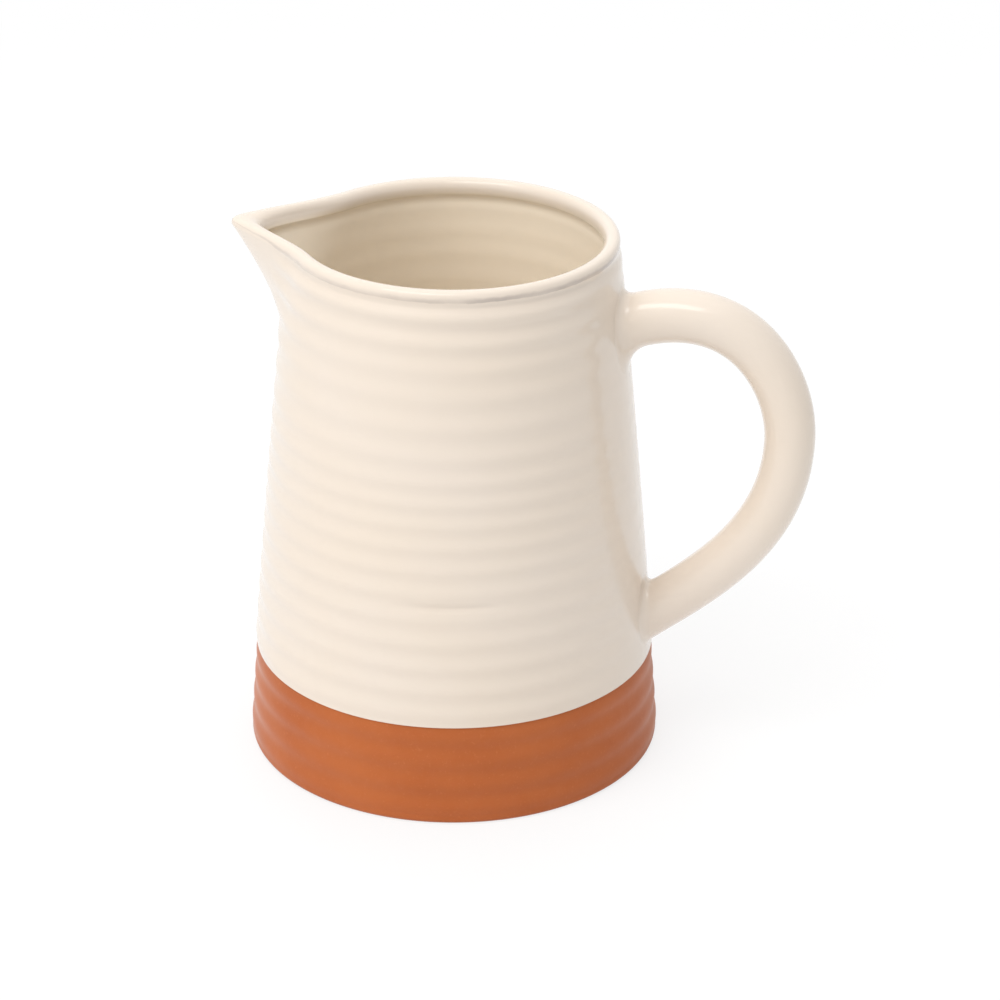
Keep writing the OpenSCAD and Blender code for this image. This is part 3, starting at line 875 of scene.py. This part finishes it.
class JUG_OT_handle_coat(Operator):
    """Bend a straight tube to the handle's loop, flared on to the wall, as the handle's glaze"""

    bl_idname = "jug.handle_coat"
    bl_label = "Handle Coat"

    def execute(self, context):
        wall = Wall(context.scene)
        rod = Rod(context.scene, wall)
        bm = bmesh.new()
        # The straight tube is 1 long, with its middle at the origin
        bmesh.ops.create_cone(bm, cap_ends=True, segments=ROD_SIDES, radius1=1, radius2=1, depth=1)
        caps = [face for face in bm.faces if len(face.verts) == ROD_SIDES]
        rows = ROD_STEPS + 2 * FILLET_STEPS
        along = [e for e in bm.edges if abs(e.verts[0].co.z - e.verts[1].co.z) > MERGE]
        bmesh.ops.subdivide_edges(bm, edges=along, cuts=rows - 1)
        lines = {}
        for vert in bm.verts:
            side = round(math.atan2(vert.co.y, vert.co.x) / math.tau * ROD_SIDES) % ROD_SIDES
            if side not in lines:
                lines[side] = rod.line(-math.tau * side / ROD_SIDES)
            vert.co = lines[side][round((vert.co.z + 0.5) * rows)]
        closed(bm, self.bl_label)
        bmesh.ops.delete(bm, geom=caps, context="FACES_ONLY")
        glaze = bpy.data.materials["cream glaze"]
        piece = make_piece("handle_coat", bm, glaze, "cream_glaze", "handle_glaze")
        shell = piece.modifiers.new("glaze", "SOLIDIFY")
        shell.thickness = wall.body.glaze_t
        shell.offset = -1
        return {"FINISHED"}


class JUG_OT_stage(Operator):
    """Set up the floor, the soft light and the camera"""

    bl_idname = "jug.stage"
    bl_label = "Stage"

    def execute(self, context):
        stage = context.scene.jug_stage
        context.scene.view_settings.view_transform = "Standard"
        make_floor(context, stage)
        make_sky(context, stage)
        make_lamp(context, "key", stage.key, LAMP_SIZE, aimed(*KEY_PLACE))
        make_lamp(context, "top", stage.top, LAMP_SIZE, aimed(*TOP_PLACE))
        make_lamp(context, "back", stage.back, LAMP_SIZE, aimed(*BACK_PLACE))
        make_lamp(context, "window", stage.window, WINDOW_SIZE, aimed(*WINDOW_PLACE), glints=True)
        make_camera(context)
        return {"FINISHED"}


def seen(tree):
    """1 for what the camera or a reflection sees, and 0 for light that falls on the jug."""
    rays = tree.nodes.new("ShaderNodeLightPath")
    either = tree.nodes.new("ShaderNodeMath")
    either.operation = "MAXIMUM"
    tree.links.new(rays.outputs["Is Camera Ray"], either.inputs[0])
    tree.links.new(rays.outputs["Is Glossy Ray"], either.inputs[1])
    return either.outputs["Value"]


def make_floor(context, stage):
    """A pale floor with a share of the shadow, which turns plain white away from the jug."""
    bm = bmesh.new()
    bmesh.ops.create_grid(bm, x_segments=1, y_segments=1, size=FLOOR_HALF)
    mesh = bpy.data.meshes.new("floor")
    bm.to_mesh(mesh)
    bm.free()
    floor = bpy.data.objects.new("floor", mesh)
    context.scene.collection.objects.link(floor)
    nodes = Nodes("pale floor")
    nodes.shader.inputs["Base Color"].default_value = (*stage.floor, 1)
    nodes.shader.inputs["Roughness"].default_value = FLOOR_ROUGH
    away = nodes.tree.nodes.new("ShaderNodeVectorMath")
    away.operation = "LENGTH"
    nodes.link(nodes.place, away.inputs[0])
    plain = 1 - stage.shadow_share
    fade = nodes.between(away.outputs["Value"], stage.fade_start, stage.fade_end, plain)
    white = nodes.tree.nodes.new("ShaderNodeEmission")
    mix = nodes.tree.nodes.new("ShaderNodeMixShader")
    nodes.link(nodes.both("MULTIPLY", seen(nodes.tree), fade), mix.inputs["Fac"])
    nodes.link(nodes.shader.outputs["BSDF"], mix.inputs[1])
    nodes.link(white.outputs["Emission"], mix.inputs[2])
    nodes.link(mix.outputs["Shader"], nodes.tree.nodes["Material Output"].inputs["Surface"])
    mesh.materials.append(nodes.material)


def make_sky(context, stage):
    """Even light from all round, which the camera and reflections see as white."""
    world = bpy.data.worlds.new("studio")
    world.use_nodes = True
    tree = world.node_tree
    sky = tree.nodes["Background"]
    sky.inputs["Color"].default_value = (1, 1, 1, 1)
    level = tree.nodes.new("ShaderNodeMapRange")
    level.inputs["To Min"].default_value = stage.sky
    tree.links.new(seen(tree), level.inputs["Value"])
    tree.links.new(level.outputs["Result"], sky.inputs["Strength"])
    context.scene.world = world


def make_lamp(context, name, watts, size, place, glints=False):
    """A soft light of that width and height, which shows in the glaze only if it glints."""
    lamp = bpy.data.lights.new(name, "AREA")
    lamp.shape = "RECTANGLE"
    lamp.size, lamp.size_y = size
    lamp.energy = watts
    stand = bpy.data.objects.new(name, lamp)
    stand.matrix_world = place
    stand.visible_glossy = glints
    context.scene.collection.objects.link(stand)


def aimed(azimuth, elevation):
    """Place of a lamp that looks at the jug from that side, with azimuth 0 in front of it."""
    a, e = math.radians(azimuth), math.radians(elevation)
    back = Vector((math.sin(a) * math.cos(e), -math.cos(a) * math.cos(e), math.sin(e)))
    turn = (-back).to_track_quat("-Z", "Y").to_matrix().to_4x4()
    return Matrix.Translation(Vector((0, 0, JUG_H / 2)) + back * LAMP_AWAY) @ turn


def make_camera(context):
    """The camera, at the photograph's view."""
    around, pan = math.radians(VIEW_TURN), math.radians(VIEW_PAN)
    pitch, roll = math.radians(VIEW_PITCH), math.radians(VIEW_ROLL)
    lens = bpy.data.cameras.new("camera")
    lens.sensor_width = SENSOR
    lens.lens = LENS
    camera = bpy.data.objects.new("camera", lens)
    tilt = Matrix.Rotation(math.pi / 2 - pitch, 4, "X") @ Matrix.Rotation(roll, 4, "Z")
    stand = Matrix.Translation((0, -VIEW_AWAY, VIEW_HIGH)) @ Matrix.Rotation(-pan, 4, "Z")
    camera.matrix_world = Matrix.Rotation(around, 4, "Z") @ stand @ tilt
    context.scene.collection.objects.link(camera)
    context.scene.camera = camera


class JUG_PT_make(Panel):
    """The jug's pieces and sizes, in the sidebar"""

    bl_label = "Stoneware Jug"
    bl_space_type = "VIEW_3D"
    bl_region_type = "UI"
    bl_category = "Jug"

    def draw(self, context):
        for operator in OPERATORS:
            self.layout.operator(operator.bl_idname)
        for name, group in GROUPS.items():
            box = self.layout.box()
            box.label(text=group.__doc__)
            for prop in group.__annotations__:
                box.prop(getattr(context.scene, name), prop)


GROUPS = {
    "jug_wall": JugWall,
    "jug_rings": JugRings,
    "jug_spout": JugSpout,
    "jug_handle": JugHandle,
    "jug_line": JugRimLine,
    "jug_finish": JugFinish,
    "jug_stage": JugStage,
}
OPERATORS = (JUG_OT_clay_body, JUG_OT_glaze_coat, JUG_OT_handle_coat, JUG_OT_stage)
CLASSES = (*GROUPS.values(), *OPERATORS, JUG_PT_make)


def register():
    """Registers the classes and gives the scene its groups of sizes."""
    for cls in CLASSES:
        bpy.utils.register_class(cls)
    for name, group in GROUPS.items():
        setattr(bpy.types.Scene, name, PointerProperty(type=group))


def unregister():
    """Takes away what register added."""
    for name in GROUPS:
        delattr(bpy.types.Scene, name)
    for cls in reversed(CLASSES):
        bpy.utils.unregister_class(cls)


def main():
    """Builds the jug and its stage."""
    register()
    bpy.ops.jug.clay_body()
    bpy.ops.jug.glaze_coat()
    bpy.ops.jug.handle_coat()
    bpy.ops.jug.stage()


if __name__ == "__main__":
    main()
